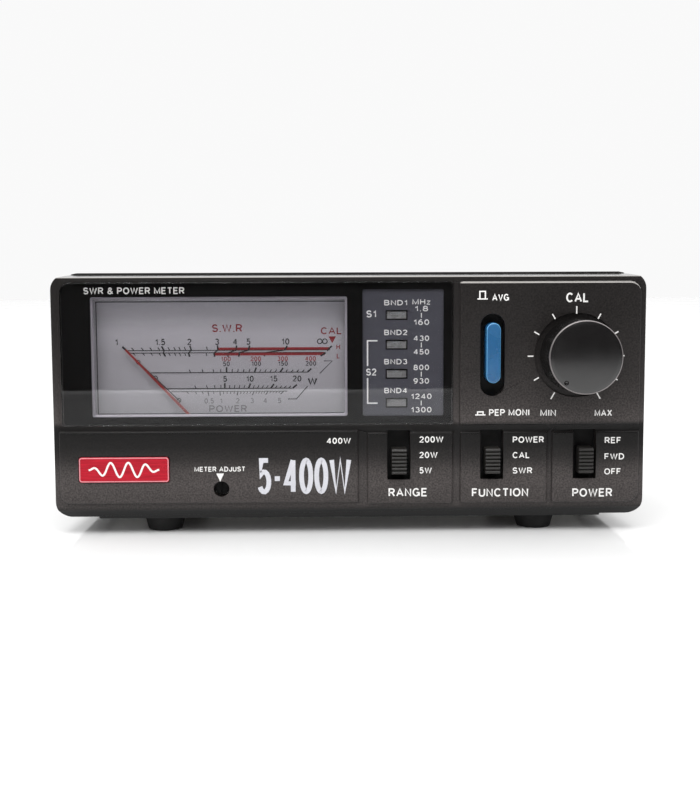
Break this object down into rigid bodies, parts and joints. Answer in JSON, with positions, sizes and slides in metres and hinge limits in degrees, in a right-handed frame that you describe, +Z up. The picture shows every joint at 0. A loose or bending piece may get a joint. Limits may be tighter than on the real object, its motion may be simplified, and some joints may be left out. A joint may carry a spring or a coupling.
{
  "type": "swr and power meter",
  "caption": "Desk-top SWR and power meter with a panel meter behind a clear window, a calibration knob, slide and push switches, and coaxial sockets at the back.",
  "frame": {"origin": "on the surface that the feet stand on, under the middle of the overall box", "axes": "+Z up, -Y out of the front panel, +X to the right seen from the front"},
  "size_m": [0.155, 0.103, 0.0689],
  "materials": {
    "bezel_plastic": "fine-grained charcoal moulding",
    "clear_acrylic": "clear, polished",
    "black_print": "black screen print behind the window",
    "band_panel_print": "dark blue-grey print with white legends",
    "band_lens": "grey diffuser, unlit",
    "badge_metal": "red metallic plate with a bright rim",
    "cover_paint": "black textured paint on steel",
    "chassis_metal": "brushed sheet",
    "rear_paint": "black textured paint",
    "foot_rubber": "black, matt",
    "screw_steel": "zinc plated",
    "knob_plastic": "satin black with a bright turned edge",
    "shaft_brass": "machined",
    "pot_steel": "tinned steel can",
    "button_plastic": "translucent blue",
    "switch_plastic": "black moulding",
    "lever_plastic": "black, ribbed",
    "board_laminate": "green solder mask",
    "meter_case_plastic": "white moulding",
    "scale_print": "pale lavender-grey print",
    "lamp_glass": "clear",
    "meter_iron": "plain",
    "coil_copper": "enamelled copper winding",
    "pointer_paint": "dark red paint",
    "spring_bronze": "phosphor bronze strip",
    "white_plastic": "white",
    "tinplate": "bright tin",
    "cable_jacket": "dark jacket",
    "socket_nickel": "nickel plate",
    "contact_gold": "gold plate"
  },
  "bodies": {
    "housing": {"front_bezel": "bezel_plastic", "window_pane": "clear_acrylic", "window_mask": "black_print", "band_plate": "band_panel_print", "band_lens_strip": "band_lens", "badge_plate": "badge_metal", "top_cover": "cover_paint", "chassis": "chassis_metal", "rear_panel": "rear_paint", "foot_front_left": "foot_rubber", "foot_front_right": "foot_rubber", "foot_back_left": "foot_rubber", "foot_back_right": "foot_rubber", "cover_screw_left_1": "screw_steel", "cover_screw_left_2": "screw_steel", "cover_screw_right_1": "screw_steel", "cover_screw_right_2": "screw_steel", "cal_potentiometer": "pot_steel", "cal_nut": "screw_steel", "mode_switch": "switch_plastic", "range_switch": "switch_plastic", "function_switch": "switch_plastic", "power_switch": "switch_plastic", "main_board": "board_laminate", "meter_case": "meter_case_plastic", "meter_cover": "clear_acrylic", "scale_plate": "scale_print", "meter_lamp": "lamp_glass", "meter_yoke": "meter_iron", "meter_core": "meter_iron", "meter_bridge": "shaft_brass", "hf_sensor_box": "tinplate", "uhf_sensor_box": "tinplate", "hf_sensor_lead": "cable_jacket", "uhf_sensor_lead": "cable_jacket", "dc_jack": "switch_plastic", "uhf_tx_socket": "socket_nickel", "uhf_tx_insulator": "white_plastic", "uhf_tx_contact": "contact_gold", "uhf_ant_socket": "socket_nickel", "uhf_ant_insulator": "white_plastic", "uhf_ant_contact": "contact_gold", "n_tx_socket": "socket_nickel", "n_tx_insulator": "white_plastic", "n_tx_contact": "contact_gold", "n_ant_socket": "socket_nickel", "n_ant_insulator": "white_plastic", "n_ant_contact": "contact_gold"},
    "cal_control": {"cal_knob": "knob_plastic", "cal_shaft": "shaft_brass"},
    "mode_plunger": {"mode_button": "button_plastic"},
    "range_slider": {"range_lever": "lever_plastic"},
    "function_slider": {"function_lever": "lever_plastic"},
    "power_slider": {"power_lever": "lever_plastic"},
    "movement": {"moving_coil": "coil_copper", "pointer": "pointer_paint", "hairspring": "spring_bronze"},
    "corrector": {"corrector_arm": "shaft_brass"},
    "zero_adjuster": {"zero_screw": "white_plastic"}
  },
  "joints": [
    {"name": "cal_turn", "type": "hinge", "parent": "housing", "child": "cal_control", "pos_m": [0.0593, -0.045, 0.047], "axis": [0, 1, 0], "range_deg": [-8, 292]},
    {"name": "mode_press", "type": "slide", "parent": "housing", "child": "mode_plunger", "axis": [0, 1, 0], "range_m": [0, 0.003], "stiffness_N_per_m": 500, "springref_m": -0.001},
    {"name": "range_slide", "type": "slide", "parent": "housing", "child": "range_slider", "axis": [0, 0, 1], "range_m": [0, 0.004]},
    {"name": "function_slide", "type": "slide", "parent": "housing", "child": "function_slider", "axis": [0, 0, 1], "range_m": [0, 0.004]},
    {"name": "power_slide", "type": "slide", "parent": "housing", "child": "power_slider", "axis": [0, 0, 1], "range_m": [0, 0.004]},
    {"name": "pointer_swing", "type": "hinge", "parent": "housing", "child": "movement", "pos_m": [-0.0336, -0.033, 0.0219], "axis": [0, 1, 0], "range_deg": [-2, 92], "stiffness_Nm_per_rad": 0.002},
    {"name": "zero_turn", "type": "hinge", "parent": "housing", "child": "zero_adjuster", "pos_m": [-0.0339, -0.036, 0.0122], "axis": [0, 1, 0], "range_deg": [-60, 60]},
    {"name": "corrector_swing", "type": "hinge", "parent": "housing", "child": "corrector", "pos_m": [-0.0336, -0.033, 0.0219], "axis": [0, 1, 0], "range_deg": [-4.26, 4.26]}
  ],
  "couplings": [
    {"joint": "zero_turn", "follows": "corrector_swing", "ratio": -14.1}
  ]
}
